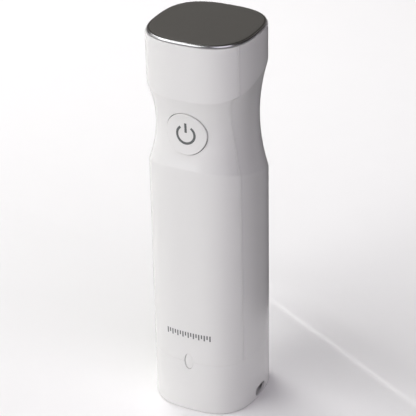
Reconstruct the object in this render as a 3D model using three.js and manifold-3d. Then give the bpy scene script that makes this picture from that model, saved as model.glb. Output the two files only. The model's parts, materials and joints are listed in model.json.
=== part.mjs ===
// Cordless vacuum pump for sealing food boxes and sous vide bags, held in the hand.
// Millimetres, +Z up. The button side faces -Y, the charging port is on +X, and the origin is the
// centre of the base that the pump stands on.
import * as THREE from "three";
import { mergeVertices } from "three/addons/utils/BufferGeometryUtils.js";
import Module from "manifold-3d";

const wasm = await Module();
wasm.setup();

// ---------------------------------------------------------------- driving dimensions
const HEIGHT = 182.5; // at the middle of the top, which rises towards the button side
const TOP_SLOPE = -0.04; // how the top's height changes along Y
const HALF_WIDTH = 24;
const HALF_DEPTH = 24.75;
const SQUARENESS = 2.77; // exponent of the rounded square section
const SECTION_POINTS = 40;
const GAP = 0.3; // clearance left between pieces that touch
const WALL = 2; // body shells
const BEYOND = 40; // outside the whole pump, for cuts that go right through

const FOOT_TOP = 26.1;
const FOOT_WALL = 2.2;
const FOOT_FLOOR = 6; // underside of the floor inside the foot
const FOOT_FLOOR_THICKNESS = 2;
const FOOT_EDGE = 1; // rounding at the bottom
const SHELL_BOTTOM = 26.5;
const SHELL_TOP = 181.3; // at the middle

// The grip is a scoop round the waist, between two creases that slope from front to back.
const CREASE_LOW = { middle: 116.5, slope: -0.3 };
const CREASE_HIGH = { middle: 161.5, slope: 0.2 };
const SCOOP_DEPTH = { middle: 3.35, slope: 0.006 };
const SCOOP_STEPS = 6;

// The seam between the front cover and the rear housing, from the bottom up, as [y, z]. It bows
// round the grip and steps back where it crosses the upper crease.
const SEAM = [
  [-13.9, 26], [-14.6, 120], [-13.7, 125.2], [-13.1, 131.5], [-13.4, 137], [-13.9, 141],
  [-15.2, 148], [-17.1, 155.5], [-17.6, 158], [-14.7, 158.3], [-14.9, HEIGHT],
];

const BUTTON_Z = 139.6;
const BUTTON_RADIUS = 9.65;
const BUTTON_PROUD = 0.35;
const BUTTON_BACK = -18.6;
const BUTTON_STEM = 2.2;
const LATCH_Z = 26.4;
const LATCH_HALF = { x: 2.05, z: 4 };
const LATCH_SUNK = 0.8; // how far the latch's face lies below the surface
const PORT_Z = 3.45;
const PORT_WINDOW = { halfY: 4.8, radius: 2.25 };
const SOCKET = { mouthX: 21.2, backX: 16.7, halfY: 3.75, halfZ: 1.35, sheet: 0.35 };
const PILLAR = { backX: 16.6, frontX: 21.1, halfY: 6.8, bottomZ: 0.9 };

const PUMP_Z = 31.2; // underside of the pump head
const PUMP_RADIUS = 14.5;
const PUMP_SCREW_CIRCLE = 12.5;
const CUP_CIRCLE = 6.8; // circle that the diaphragm's three cups stand on
const WOBBLE_Z = 45.4; // point that the wobble plate rocks about
const WOBBLE_TILT = THREE.MathUtils.degToRad(6);
const PIN_RADIUS = 0.9; // drive pin that carries the wobble plate
const MOTOR_Z = 54.1; // front face of the motor can
const MOTOR_RADIUS = 12.2;
const MOTOR_SCREW_X = 8;
const SHAFT_RADIUS = 1;
const SCREW_RADIUS = 1.1;
const SCREW_HOLE = SCREW_RADIUS + GAP;

const CELL = { radius: 9.2, y: 4.8, bottom: 93, top: 157 };
const BOARD = { halfX: 13, front: -11.4, back: -9.8, bottom: 95, top: 158 };
const HOUSING_SCREW = { x: 10, y: 15 };
const BOSS = { radius: 2.6, ribHalf: 1, front: [168, 175.6], rear: [29.4, 41] };
const CARRIER_Z = 176; // underside of the frame that holds the top

// ---------------------------------------------------------------- solids
// three.js geometry as a closed solid that can be joined and cut.
function solid(geometry) {
  const bare = new THREE.BufferGeometry();
  bare.setAttribute("position", geometry.getAttribute("position"));
  if (geometry.index) bare.setIndex(geometry.index);
  const merged = mergeVertices(bare, 1e-4);
  return new wasm.Manifold(
    new wasm.Mesh({
      numProp: 3,
      vertProperties: new Float32Array(merged.attributes.position.array),
      triVerts: new Uint32Array(merged.index.array),
    }),
  );
}

function join(first, ...others) {
  return others.reduce((sum, other) => sum.add(other), first);
}

function cut(first, ...others) {
  return others.reduce((rest, other) => rest.subtract(other), first);
}

// A block between two values on each axis.
function block([x0, x1], [y0, y1], [z0, z1]) {
  const box = new THREE.BoxGeometry(x1 - x0, y1 - y0, z1 - z0);
  return solid(box.translate((x0 + x1) / 2, (y0 + y1) / 2, (z0 + z1) / 2));
}

// A prism along X with an outline of [y, z] points.
function prism(outline, from, to) {
  const section = new THREE.Shape(outline.map(([y, z]) => new THREE.Vector2(y, z)));
  const shape = new THREE.ExtrudeGeometry(section, { depth: to - from, bevelEnabled: false });
  return solid(shape.rotateZ(Math.PI / 2).rotateY(Math.PI / 2).translate(from, 0, 0));
}

// A round bar from one point to another. stretch widens it along X, for an oval bar.
function bar(radius, from, to, sides = 16, stretch = 1) {
  const start = new THREE.Vector3(...from);
  const along = new THREE.Vector3(...to).sub(start);
  const shape = new THREE.CylinderGeometry(radius, radius, along.length(), sides);
  const turn = new THREE.Quaternion().setFromUnitVectors(
    new THREE.Vector3(0, 1, 0),
    along.clone().normalize(),
  );
  shape.scale(stretch, 1, 1).applyQuaternion(turn);
  return solid(shape.translate(...start.addScaledVector(along, 0.5).toArray()));
}

// A turned solid about Z. The profile of [radius, z] points runs anticlockwise and is closed here.
function turned(profile, sides = 24) {
  const points = [...profile, profile[0]].map(([r, z]) => new THREE.Vector2(r, z));
  return solid(new THREE.LatheGeometry(points, sides).rotateX(Math.PI / 2));
}

function tube(radius, hole, from, to, sides = 16) {
  return turned([[hole, from], [radius, from], [radius, to], [hole, to]], sides);
}

// A wire or hose of round section through the points.
function wire(points, radius, steps, sides = 6) {
  const section = new THREE.Shape();
  for (let i = 0; i < sides; i++) {
    const angle = (2 * Math.PI * i) / sides;
    const corner = [radius * Math.cos(angle), radius * Math.sin(angle)];
    if (i) section.lineTo(...corner);
    else section.moveTo(...corner);
  }
  const path = new THREE.CatmullRomCurve3(points.map((p) => new THREE.Vector3(...p)));
  return solid(new THREE.ExtrudeGeometry(section, { steps, extrudePath: path, curveSegments: 1 }));
}

// A closed solid through rings of equal length, listed from the lowest up.
function loft(rings) {
  const count = rings[0].length;
  const last = (rings.length - 1) * count;
  const positions = rings.flat(2);
  const centres = positions.length / 3;
  for (const ring of [rings[0], rings.at(-1)]) {
    const height = ring.reduce((sum, point) => sum + point[2], 0) / count;
    positions.push(0, 0, height);
  }
  const index = [];
  for (let i = 0; i < count; i++) {
    const next = (i + 1) % count;
    index.push(centres, next, i, centres + 1, last + i, last + next);
    for (let row = 0; row < last; row += count) {
      index.push(row + i, row + next, row + next + count);
      index.push(row + i, row + next + count, row + i + count);
    }
  }
  const geometry = new THREE.BufferGeometry();
  geometry.setAttribute("position", new THREE.Float32BufferAttribute(positions, 3));
  return solid(geometry.setIndex(index));
}

// ---------------------------------------------------------------- the outer form
const signedPower = (value, power) => Math.sign(value) * Math.abs(value) ** power;

// One point of the rounded square section, moved inwards by inset.
function sectionPoint(i, inset) {
  const angle = (2 * Math.PI * i) / SECTION_POINTS;
  return [
    (HALF_WIDTH - inset) * signedPower(Math.cos(angle), 2 / SQUARENESS),
    (HALF_DEPTH - inset) * signedPower(Math.sin(angle), 2 / SQUARENESS),
  ];
}

// A flat ring at a height, which may slope along Y.
function flatRing(inset, z, slope = 0) {
  return Array.from({ length: SECTION_POINTS }, (_, i) => {
    const [x, y] = sectionPoint(i, inset);
    return [x, y, z + slope * y];
  });
}

// A ring of the scoop: share 0 is the lower crease and 1 is the upper crease.
function scoopRing(inset, share) {
  return Array.from({ length: SECTION_POINTS }, (_, i) => {
    const [, y] = sectionPoint(i, 0);
    const low = CREASE_LOW.middle + CREASE_LOW.slope * y;
    const high = CREASE_HIGH.middle + CREASE_HIGH.slope * y;
    const depth = (SCOOP_DEPTH.middle + SCOOP_DEPTH.slope * y) * (1 - (2 * share - 1) ** 2);
    return [...sectionPoint(i, inset + depth), low + (high - low) * share];
  });
}

// A straight stretch of the section, with every level given as [inset, z] or [inset, z, slope].
function column(...levels) {
  return loft(levels.map((level) => flatRing(...level)));
}

// The body with its scooped waist, moved inwards by inset.
function waistedColumn(inset, bottom, top) {
  const scoop = [];
  for (let step = 0; step <= SCOOP_STEPS; step++) scoop.push(scoopRing(inset, step / SCOOP_STEPS));
  return loft([flatRing(inset, bottom), ...scoop, flatRing(inset, top, TOP_SLOPE)]);
}

// ---------------------------------------------------------------- pieces
const pump = new THREE.Group();

function finish(color, roughness, metalness = 0) {
  return new THREE.MeshStandardMaterial({ color, roughness, metalness });
}

const white = () => finish(0xe6e5e3, 0.28);
const blackPlastic = () => finish(0x26272a, 0.5);
const natural = () => finish(0xcfcfca, 0.5);
const steel = () => finish(0xb9bbbd, 0.3, 1);
const brass = () => finish(0xc9a14a, 0.3, 1);
const copper = () => finish(0xb8683a, 0.35, 1);
const silicone = () => finish(0x9a9c9e, 0.6);
const blackRubber = () => finish(0x1d1d1f, 0.7);

function piece(name, shape, material, parent = pump) {
  const { vertProperties, triVerts } = shape.getMesh();
  const geometry = new THREE.BufferGeometry();
  geometry.setAttribute("position", new THREE.BufferAttribute(vertProperties, 3));
  geometry.setIndex(new THREE.BufferAttribute(triVerts, 1));
  geometry.computeVertexNormals();
  const mesh = new THREE.Mesh(geometry, material);
  mesh.name = name;
  parent.add(mesh);
}

// A group whose pieces are drawn about their own origin.
function assembly(x, y, z) {
  const group = new THREE.Group();
  group.position.set(x, y, z);
  pump.add(group);
  return group;
}

// Three copies of a shape round the axis. make takes the angle of each.
function threeRound(make, first = Math.PI / 2) {
  const angles = [0, 1, 2].map((k) => first + (2 * Math.PI * k) / 3);
  return angles.map((angle) => make(angle));
}

const onCircle = (radius, angle, z) => [radius * Math.cos(angle), radius * Math.sin(angle), z];

// An oval bar along Y for the latch, grown by a margin all round.
function latchOval(margin, from, to) {
  const halfZ = LATCH_HALF.z + margin;
  const stretch = (LATCH_HALF.x + margin) / halfZ;
  return bar(halfZ, [0, from, LATCH_Z], [0, to, LATCH_Z], 20, stretch);
}

// A screw with a flat head, driven along +Z or -Z.
function screw(x, y, headZ, tipZ, headHeight = 1.5) {
  const way = Math.sign(tipZ - headZ);
  const neck = headZ + way * headHeight;
  const shank = bar(SCREW_RADIUS, [x, y, neck - way * 0.2], [x, y, tipZ], 8);
  const head = bar(2, [x, y, headZ], [x, y, neck], 10);
  const slot = block([x - 1.6, x + 1.6], [y - 0.3, y + 0.3], [headZ - 0.5, headZ + 0.5]);
  return cut(join(shank, head), slot);
}

// Everything on one side of the seam, half a gap clear of it. side is -1 for the button side.
function sideOfSeam(side) {
  const edge = SEAM.map(([y, z], i) => {
    const before = new THREE.Vector2(...SEAM[Math.max(i - 1, 0)]);
    const after = new THREE.Vector2(...SEAM[Math.min(i + 1, SEAM.length - 1)]);
    const along = after.sub(before).normalize();
    const shift = (side * GAP) / 2;
    return [y + shift * along.y, z - shift * along.x];
  });
  const far = side * BEYOND;
  return prism([...edge, [far, HEIGHT], [far, SEAM[0][1]]], -BEYOND, BEYOND);
}

function makeShells() {
  const skin = cut(
    waistedColumn(0, SHELL_BOTTOM, SHELL_TOP),
    waistedColumn(WALL, SHELL_BOTTOM - 1, SHELL_TOP + 1),
  );
  const { x, y } = HOUSING_SCREW;

  // A screw boss on a rib that ties it to the nearest wall.
  const boss = (side, toward, [low, high]) => {
    const wallY = toward * (HALF_DEPTH - WALL - 0.3);
    const rib = [toward * y, wallY].sort((a, b) => a - b);
    const centre = [side * x, toward * y];
    const post = bar(BOSS.radius, [...centre, low], [...centre, high], 10);
    const web = block([side * x - BOSS.ribHalf, side * x + BOSS.ribHalf], rib, [low, high]);
    return cut(join(post, web), bar(SCREW_HOLE, [...centre, low - 1], [...centre, high + 1], 8));
  };
  const bosses = (toward, heights) => [-1, 1].map((side) => boss(side, toward, heights));

  const front = cut(
    skin.intersect(sideOfSeam(-1)),
    bar(BUTTON_RADIUS + GAP, [0, -BEYOND, BUTTON_Z], [0, 0, BUTTON_Z], 32),
    latchOval(GAP, -BEYOND, 0),
  );
  const rear = skin.intersect(sideOfSeam(1));
  piece("front_cover", join(front, ...bosses(-1, BOSS.front)), white());
  piece("rear_housing", join(rear, ...bosses(1, BOSS.rear)), white());

  const capBottom = SHELL_TOP + GAP;
  const lid = [
    [0.6, capBottom], [0.3, capBottom + 0.2], [0.3, HEIGHT - 0.35], [0.5, HEIGHT - 0.1], [0.9, HEIGHT],
  ].map((level) => [...level, TOP_SLOPE]);
  const skirt = cut(
    column([2.4, 178.5], [2.4, HEIGHT - 0.4, TOP_SLOPE]),
    column([3.2, 178], [3.2, HEIGHT, TOP_SLOPE]),
  );
  piece("top_cap", join(column(...lid), skirt), finish(0x54534f, 0.35, 1));

  const plateTop = CARRIER_Z + 2;
  const collar = cut(column([3.6, plateTop - 0.5], [3.6, 180]), column([5, 177], [5, 181]));
  const carrier = cut(
    join(column([2.3, CARRIER_Z], [2.3, plateTop]), collar),
    ...[-1, 1].map((side) => bar(SCREW_HOLE, [side * x, -y, 175], [side * x, -y, 179], 8)),
  );
  piece("top_carrier", carrier, blackPlastic());
  for (const [side, word] of [[-1, "left"], [1, "right"]]) {
    piece("front_screw_" + word, screw(side * x, -y, 179.9, 169), steel());
    piece("rear_screw_" + word, screw(side * x, y, 24.6, 40), steel());
  }
}

function makeFoot() {
  const inner = (low, high) => column([FOOT_WALL, low], [FOOT_WALL, high]);
  const floorTop = FOOT_FLOOR + FOOT_FLOOR_THICKNESS;
  const notch = block([14.8, 23], [-7.3, 7.3], [FOOT_FLOOR - 1, floorTop + 1]);
  const { halfY, radius } = PORT_WINDOW;
  const straight = [radius - halfY, halfY - radius];
  const ends = straight.map((y) => bar(radius, [20, y, PORT_Z], [BEYOND, y, PORT_Z], 16));
  const window = join(block([20, BEYOND], straight, [PORT_Z - radius, PORT_Z + radius]), ...ends);
  const foot = cut(
    column([FOOT_EDGE, 0], [FOOT_EDGE * 0.3, FOOT_EDGE * 0.3], [0, FOOT_EDGE], [0, FOOT_TOP]),
    inner(floorTop, FOOT_TOP + 1),
    inner(-1, FOOT_FLOOR),
    notch.intersect(inner(0, FOOT_TOP)),
    window,
    bar(5.6, [0, 0, 0], [0, 0, FOOT_TOP], 24),
    latchOval(GAP, -BEYOND, 0),
  );
  piece("suction_foot", foot, white());

  const cup = turned([
    [12, 0.35], [13.2, 0.35], [12.8, 2.2], [11.4, 4.2], [9.3, 5.7], [5.3, 5.7], [5.3, 8.3],
    [7.3, 8.3], [6.7, 9.6], [4.9, 12.6], [2.8, 12.6], [2.8, 5.4], [7.6, 5.2], [10, 3.9],
    [11.4, 2.2],
  ]);
  piece("suction_cup", cup, silicone());
}

function makeLatch() {
  const face = -HALF_DEPTH + LATCH_SUNK;
  const flange = -HALF_DEPTH + FOOT_WALL + GAP;
  const flangeSize = 0.9;
  const button = join(
    latchOval(0, face, flange + 0.5),
    latchOval(flangeSize, flange, flange + flangeSize),
    bar(1, [0, flange, LATCH_Z], [0, flange + 2, LATCH_Z], 12),
  );
  piece("foot_release_button", button, white());

  const stepsPerTurn = 8;
  const steps = 3 * stepsPerTurn;
  const coilRadius = 1.6;
  const wireRadius = 0.25;
  const start = flange + flangeSize + GAP + wireRadius;
  const end = -17.95;
  const coil = [];
  for (let i = 0; i <= steps; i++) {
    const angle = (2 * Math.PI * i) / stepsPerTurn;
    const y = start + ((end - start) * i) / steps;
    coil.push([coilRadius * Math.cos(angle), y, LATCH_Z + coilRadius * Math.sin(angle)]);
  }
  piece("latch_spring", wire(coil, wireRadius, steps, 5), steel());
}

// The moulding that closes the bottom of the body. The foot plugs onto its spigot.
function makeBase() {
  const spigotBottom = 15.5;
  const groove = [17.7, 20.3];
  const ring = (outer, inner, [low, high]) =>
    cut(column([outer, low], [outer, high]), column([inner, low - 1], [inner, high + 1]));
  const pillar = block(
    [PILLAR.backX, PILLAR.frontX],
    [-PILLAR.halfY, PILLAR.halfY],
    [PILLAR.bottomZ, SHELL_BOTTOM + 1],
  ).intersect(column([2.75, 0], [2.75, 40]));
  const socketHole = block(
    [SOCKET.backX - 2, 25],
    [-SOCKET.halfY - GAP, SOCKET.halfY + GAP],
    [PORT_Z - SOCKET.halfZ - GAP, PORT_Z + SOCKET.halfZ + GAP],
  );
  const { x, y } = HOUSING_SCREW;
  const base = cut(
    join(
      column([2.3, SHELL_BOTTOM], [2.3, 29]),
      ring(2.9, 5.4, [spigotBottom, SHELL_BOTTOM + 0.5]),
      block([-5.2, 5.2], [-20.2, -15.6], [20.6, 31.8]),
      pillar,
    ),
    ring(2, 4.2, groove),
    block([-3.6, 3.6], [-30, -17.4], [21.1, 32.5]),
    socketHole,
    bar(5, [0, 0, 20], [0, 0, 35], 16),
    block([14.5, 16.6], [-4, 4], [25, 30]),
    bar(SCREW_HOLE, [-x, y, 20], [-x, y, 35], 8),
    bar(SCREW_HOLE, [x, y, 20], [x, y, 35], 8),
  );
  piece("base_plate", base, blackPlastic());
  piece("foot_seal_ring", ring(2.5, 3.9, [groove[0] + GAP, groove[1] - GAP]), blackRubber());
}

function makeChargingPort() {
  const { mouthX, backX, halfY, halfZ, sheet } = SOCKET;
  // The socket's outline, with its two lower corners cut off, made larger by grow.
  const outline = (grow) => {
    const y = halfY + grow;
    const z = halfZ + grow;
    const low = PORT_Z - z;
    const shoulder = PORT_Z - z * 0.2;
    const high = PORT_Z + z;
    return [[-y, shoulder], [1 - y, low], [y - 1, low], [y, shoulder], [y, high], [-y, high]];
  };
  const can = prism(outline(0), backX, mouthX);
  const hollow = prism(outline(-sheet), backX + sheet, mouthX + 1);
  piece("usb_socket_shell", cut(can, hollow), steel());
  const tongue = join(
    block([backX + 0.8, backX + 1.5], [-2.6, 2.6], [PORT_Z - 0.5, PORT_Z + 0.6]),
    block([backX + 0.8, mouthX - 0.6], [-2.1, 2.1], [PORT_Z - 0.1, PORT_Z + 0.5]),
  );
  piece("usb_socket_tongue", tongue, blackPlastic());
  piece("charging_board", block([15.3, 16.3], [-5.8, 5.8], [1.6, 25]), finish(0x1f5a3a, 0.5));
  const ribbon = join(
    block([15.7, 16.1], [-3, 3], [25.3, 98]),
    block([15.7, 16.1], [-10.8, -2.9], [92, 98]),
    block([13.3, 16.1], [-10.8, -10.4], [92, 98]),
  );
  piece("charging_ribbon", ribbon, finish(0xd8c49a, 0.5));
}

function makePumpHead() {
  const head = assembly(0, 0, PUMP_Z);
  const post = (radius, circle, from, to, sides) =>
    threeRound((angle) => bar(radius, onCircle(circle, angle, from), onCircle(circle, angle, to), sides));
  const screwHoles = post(SCREW_HOLE, PUMP_SCREW_CIRCLE, -5, 16, 8);

  const inletBottom = -21;
  const cover = turned([
    [1.2, inletBottom], [2.4, inletBottom], [2.4, 0], [PUMP_RADIUS, 0], [PUMP_RADIUS, 3.5],
    [10.4, 3.5], [10.4, 2.2], [1.2, 2.2],
  ]);
  const sensePort = [-5.9, -13.6, 1.6];
  const spout = bar(1.1, [-4.6, -10.6, 1.6], sensePort, 10);
  piece("pump_head_cover", join(cut(cover, ...screwHoles), spout), blackPlastic(), head);

  const portHoles = post(1, CUP_CIRCLE, 3, 7, 6);
  const plate = bar(PUMP_RADIUS, [0, 0, 3.8], [0, 0, 5.8], 24);
  piece("valve_plate", cut(plate, ...screwHoles, ...portHoles), natural(), head);

  const petals = post(2.6, CUP_CIRCLE, 6.1, 6.6, 10);
  piece("valve_disc", join(bar(5, [0, 0, 6.1], [0, 0, 6.6], 12), ...petals), blackRubber(), head);

  const cups = [...post(3.4, CUP_CIRCLE, 7.5, 11.3, 12), ...post(1.2, CUP_CIRCLE, 11, 12, 8)];
  const hollows = post(2.6, CUP_CIRCLE, 6, 10.4, 10);
  const sheet = bar(PUMP_RADIUS, [0, 0, 6.9], [0, 0, 7.9], 24);
  piece("diaphragm", cut(join(sheet, ...cups), ...hollows, ...screwHoles), blackRubber(), head);

  const caseTop = 22.5;
  const caseRoof = 20.8;
  const crankcase = turned([
    [10.6, 8.2], [PUMP_RADIUS, 8.2], [PUMP_RADIUS, caseTop], [4.3, caseTop], [4.3, caseRoof],
    [10.6, caseRoof],
  ]);
  const motorHoles = [-1, 1].map((side) =>
    bar(SCREW_HOLE, [side * MOTOR_SCREW_X, 0, 18], [side * MOTOR_SCREW_X, 0, 24], 8),
  );
  piece("pump_body", cut(crankcase, ...screwHoles, ...motorHoles), blackPlastic(), head);

  threeRound((angle) => onCircle(PUMP_SCREW_CIRCLE, angle, 0)).forEach(([x, y], i) => {
    piece("pump_screw_" + (i + 1), screw(x, y, -1.8, 15), steel(), head);
  });

  const pivot = WOBBLE_Z - PUMP_Z;
  const hub = cut(
    bar(3.6, [0, 0, 16.6], [0, 0, 22], 24),
    bar(SHAFT_RADIUS + GAP, [0, 0, 19.9], [0, 0, 23], 12),
    bar(PIN_RADIUS + GAP, tiltedPoint(0, pivot), tiltedPoint(5.9, pivot), 12),
  );
  piece("eccentric_hub", hub, brass(), head);
  return sensePort;
}

// The point at a distance along the drive pin's axis, which leans towards +X through the rocking point.
function tiltedPoint(distance, pivotZ) {
  return [distance * Math.sin(WOBBLE_TILT), 0, pivotZ + distance * Math.cos(WOBBLE_TILT)];
}

// The wobble plate and its pin, drawn upright about the rocking point and leant over together.
function makeWobble() {
  const leaning = assembly(0, 0, WOBBLE_Z);
  leaning.rotation.y = WOBBLE_TILT;
  const half = 0.9; // half the plate's thickness
  const arms = threeRound((angle) =>
    join(
      bar(1.9, onCircle(CUP_CIRCLE, angle, -half), onCircle(CUP_CIRCLE, angle, half), 10),
      bar(0.85, onCircle(2, angle, 0), onCircle(CUP_CIRCLE, angle, 0), 6),
    ),
  );
  const plate = join(bar(3.4, [0, 0, -half], [0, 0, half], 12), ...arms);
  const bore = bar(PIN_RADIUS + GAP + 0.1, [0, 0, -2], [0, 0, 2], 10);
  piece("wobble_plate", cut(plate, bore), natural(), leaning);
  piece("drive_pin", bar(PIN_RADIUS, [0, 0, -1.8], [0, 0, 5.5], 12), steel(), leaning);
}

function makeMotor() {
  const motor = assembly(0, 0, MOTOR_Z);
  const canLength = 30;
  const sheet = 0.8; // thickness of the can's steel
  const inside = MOTOR_RADIUS - sheet;
  const can = turned([
    [3.4, 0], [MOTOR_RADIUS, 0], [MOTOR_RADIUS, canLength], [inside, canLength], [inside, sheet],
    [3.4, sheet],
  ]);
  const holes = [-1, 1].map((side) =>
    bar(SCREW_HOLE, [side * MOTOR_SCREW_X, 0, -1], [side * MOTOR_SCREW_X, 0, 2], 8),
  );
  piece("motor_can", cut(can, ...holes), steel(), motor);
  piece("front_bush", tube(3.1, SHAFT_RADIUS + GAP, -0.5, 2.6), brass(), motor);
  piece("rear_bush", tube(2.6, SHAFT_RADIUS + GAP, 30.6, 33.3), brass(), motor);
  piece("motor_shaft", bar(SHAFT_RADIUS, [0, 0, -2.7], [0, 0, 33], 12), steel(), motor);

  const magnets = tube(inside - GAP, 9.4, 5, 25, 24);
  for (const [word, across] of [["left", [-20, -3.4]], ["right", [3.4, 20]]]) {
    const magnet = magnets.intersect(block(across, [-20, 20], [0, canLength]));
    piece("motor_magnet_" + word, magnet, blackPlastic(), motor);
  }

  // Three slots take the coils, each open to the rim through a slit.
  const stackFrom = 8;
  const stackTo = 22;
  const slotCircle = 5.6;
  const slots = threeRound((angle) => {
    const round = [onCircle(slotCircle, angle, stackFrom - 1), onCircle(slotCircle, angle, stackTo + 1)];
    const slit = block([slotCircle, 10], [-0.4, 0.4], [stackFrom - 1, stackTo + 1]);
    return join(bar(2.5, ...round, 10), slit.rotate([0, 0, THREE.MathUtils.radToDeg(angle)]));
  });
  const stack = bar(8.9, [0, 0, stackFrom], [0, 0, stackTo], 24);
  const shaftHole = bar(SHAFT_RADIUS + GAP, [0, 0, 0], [0, 0, canLength], 12);
  piece("armature_core", cut(stack, shaftHole, ...slots), steel(), motor);
  const coils = threeRound((angle) =>
    bar(2.1, onCircle(slotCircle, angle, 6.6), onCircle(slotCircle, angle, stackTo + 1), 10),
  );
  piece("armature_winding", join(tube(8, 3, 22.4, 24.2), ...coils), copper(), motor);
  piece("motor_commutator", tube(2.6, SHAFT_RADIUS + GAP, 25, 29.4), copper(), motor);

  const capFrom = canLength + GAP;
  const capTo = 32.4;
  const collarTo = 33.5;
  const endCap = turned([
    [2.9, capFrom], [MOTOR_RADIUS, capFrom], [MOTOR_RADIUS, capTo], [4.6, capTo], [4.6, collarTo],
    [2.9, collarTo],
  ]);
  const terminals = [-1, 1].map((side) =>
    block([side * 6 - 0.7, side * 6 + 0.7], [-1.4, 1.4], [canLength, capTo + 0.6]),
  );
  piece("motor_end_cap", cut(endCap, ...terminals), blackPlastic(), motor);
  for (const [side, word] of [[-1, "left"], [1, "right"]]) {
    const across = (near, far) => [side * near, side * far].sort((a, b) => a - b);
    const brush = join(
      block(across(5.7, 6.3), [-1, 1], [26.4, 34]),
      block(across(2.95, 6), [-0.9, 0.9], [26.4, 27.8]),
    );
    piece("motor_brush_" + word, brush, brass(), motor);
    piece("motor_screw_" + word, screw(side * MOTOR_SCREW_X, 0, -3.9, 2.6), steel(), motor);
  }
}

// The inner frame: a plate over the motor, rails down past the pump, and a spine between the cell
// and the circuit board.
function makeChassis() {
  const rails = [-1, 1].map((side) =>
    block([side * 18.3 - 1, side * 18.3 + 1], [-3, 3], [29 + GAP, 89.5]),
  );
  const arms = [];
  for (const x of [-10.4, 10.4]) {
    for (const z of [102, 142]) arms.push(block([x - 0.7, x + 0.7], [-7, 3], [z, z + 6]));
  }
  const frame = cut(
    join(
      column([2.4, 89], [2.4, 91]),
      ...rails,
      block([-12, 12], [-8, -6.5], [90.5, 160.5]),
      column([4.2, 160], [4.2, 162]),
      ...arms,
    ),
    block([-9.6, 9.6], [-30, -12], [88, 92]),
    block([15.2, 16.6], [-3.5, 3.5], [88, 92]),
  );
  piece("chassis", frame, natural());
}

function makeBattery() {
  const at = (z, x = 0) => [x, CELL.y, z];
  const cell = join(
    bar(CELL.radius, at(CELL.bottom), at(CELL.top), 24),
    bar(2.8, at(CELL.top - 0.5), at(CELL.top + 1), 12),
  );
  piece("battery_cell", cell, finish(0x2f6fa8, 0.45));
  const tab = (z) => block([-4, 4], [CELL.y - 4, CELL.y + 4], [z, z + 0.5]);
  piece("battery_contact_positive", tab(CELL.top + 1.4), steel());
  piece("battery_contact_negative", tab(CELL.bottom - 1.2), steel());

  const channel = (BOARD.back - 8) / 2; // the middle of the space between the board and the spine
  const positive = [
    [4.9, CELL.y, 158.7], [10, 2, 158.4], [13.3, -3, 156.6], [13.8, -6.6, 154],
    [12.4, channel, 150], [7.5, channel, 147],
  ];
  const negative = [
    [-4.9, CELL.y, 92.1], [-10, 2, 92.3], [-13.3, -3, 94], [-13.8, -6.6, 97],
    [-12.4, channel, 101], [-7.5, channel, 104],
  ];
  piece("battery_lead_positive", wire(positive, 0.5, 12), finish(0xb02a24, 0.5));
  piece("battery_lead_negative", wire(negative, 0.5, 12), blackPlastic());
}

function makeElectronics(hoseStart) {
  const { halfX, front, back, bottom, top } = BOARD;
  const board = block([-halfX, halfX], [front, back], [bottom, top]);
  piece("main_circuit_board", board, finish(0x1f5a3a, 0.5));
  const onBoard = (x0, x1, height, z0, z1) =>
    block([x0, x1], [front - GAP - height, front - GAP], [z0, z1]);
  piece("controller_chip", onBoard(-1.5, 5.5, 0.9, 120, 127), blackPlastic());
  piece("motor_driver_transistor", onBoard(3.5, 9.5, 2.2, 103, 109.5), blackPlastic());

  const sensorX = -6.5;
  const hoseY = front - GAP - 1.9;
  const sensor = join(
    onBoard(sensorX - 3, sensorX + 3, 3.4, 108, 114),
    bar(0.9, [sensorX, hoseY, 106], [sensorX, hoseY, 109], 10),
  );
  piece("pressure_sensor", sensor, blackPlastic());
  const [startX, startY, startZ] = hoseStart;
  const hose = [
    [startX - 0.25, startY - 0.6, startZ + PUMP_Z + 0.3], [-7, -15.9, 34.6], [-7.6, -16.9, 40],
    [-7.6, -16.9, 60], [-7.5, -16.6, 84], [sensorX, hoseY - 1, 97], [sensorX, hoseY, 105.7],
  ];
  piece("sensor_hose", wire(hose, 1.4, 20), silicone());

  const plungerBore = bar(1.9, [0, -20, BUTTON_Z], [0, front - GAP - 1, BUTTON_Z], 16);
  const switchBody = cut(onBoard(-3, 3, 3.2, BUTTON_Z - 3, BUTTON_Z + 3), plungerBore);
  piece("tact_switch_body", switchBody, blackPlastic());
  const plungerFront = -15.7;
  const plunger = bar(1.5, [0, plungerFront, BUTTON_Z], [0, -13.6, BUTTON_Z], 16);
  piece("tact_switch_plunger", plunger, blackPlastic());

  // The button's face keeps the curve of the scooped body.
  const shaped = bar(BUTTON_RADIUS, [0, -BEYOND, BUTTON_Z], [0, BUTTON_BACK, BUTTON_Z], 32);
  const hooks = [-1, 1].map((side) => {
    const z = BUTTON_Z + side * (BUTTON_RADIUS + 0.6);
    return block([-3, 3], [-20.2, BUTTON_BACK], [z - 1.2, z + 1.2]);
  });
  const stem = bar(BUTTON_STEM, [0, BUTTON_BACK - 0.4, BUTTON_Z], [0, plungerFront - GAP, BUTTON_Z]);
  const face = shaped.intersect(waistedColumn(-BUTTON_PROUD, SHELL_BOTTOM, SHELL_TOP));
  piece("power_button", join(face, ...hooks, stem), white());

  for (const [side, word] of [[-1, "negative"], [1, "positive"]]) {
    const lead = [
      [side * 6, -2, 87.6], [side * 6, -7, 87.9], [side * 5.6, -12.4, 88.2],
      [side * 5.2, -13.6, 91.5], [side * 5.2, -12.5, 99],
    ];
    const sleeve = side > 0 ? finish(0xb02a24, 0.5) : blackPlastic();
    piece("motor_lead_" + word, wire(lead, 0.55, 10), sleeve);
  }
}

makeShells();
makeFoot();
makeLatch();
makeBase();
makeChargingPort();
const hoseStart = makePumpHead();
makeWobble();
makeMotor();
makeChassis();
makeBattery();
makeElectronics(hoseStart);

export default pump;
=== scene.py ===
"""Looks for a cordless vacuum pump: fine outer pieces, materials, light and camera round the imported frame."""

import json
import math

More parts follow.
